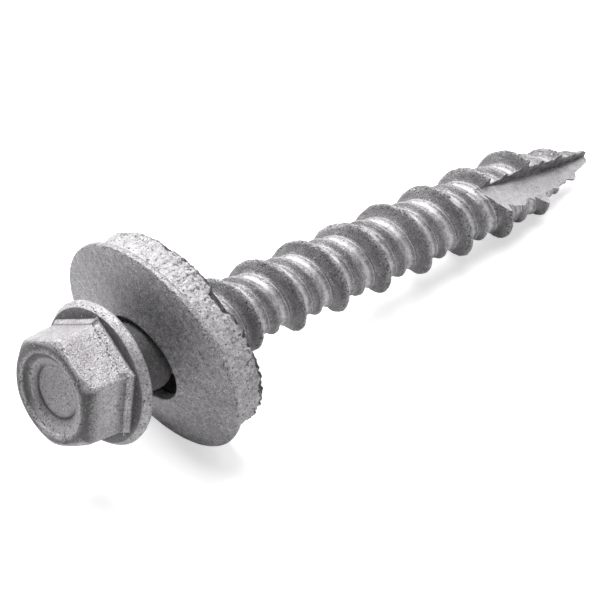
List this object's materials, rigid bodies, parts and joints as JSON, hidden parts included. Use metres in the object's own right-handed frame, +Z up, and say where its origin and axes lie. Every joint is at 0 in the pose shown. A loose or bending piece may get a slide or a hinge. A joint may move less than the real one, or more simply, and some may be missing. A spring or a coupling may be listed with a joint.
{
  "type": "hex washer head screw with sealing washer",
  "caption": "Hex washer head timber screw with high and low thread ridges, a slash-notched point and a loose domed sealing washer on its neck, lying at rest.",
  "frame": {"origin": "middle of the part's footprint on the surface it lies on", "axes": "+X level along the screw from head to tip, +Z up"},
  "size_m": [0.0549, 0.0175, 0.0174],
  "materials": {
    "zinc_steel": "matt galvanised",
    "washer_steel": "matt galvanised",
    "seal_rubber": "rough cut edge"
  },
  "bodies": {
    "screw": {"screw": "zinc_steel"},
    "washer": {"steel_washer": "washer_steel", "rubber_seal": "seal_rubber"}
  },
  "joints": [
    {"name": "washer_turn", "type": "hinge", "parent": "screw", "child": "washer", "pos_m": [-0.01721, 0, 0.00867], "axis": [0.9876, 0, -0.157], "continuous": true}
  ]
}
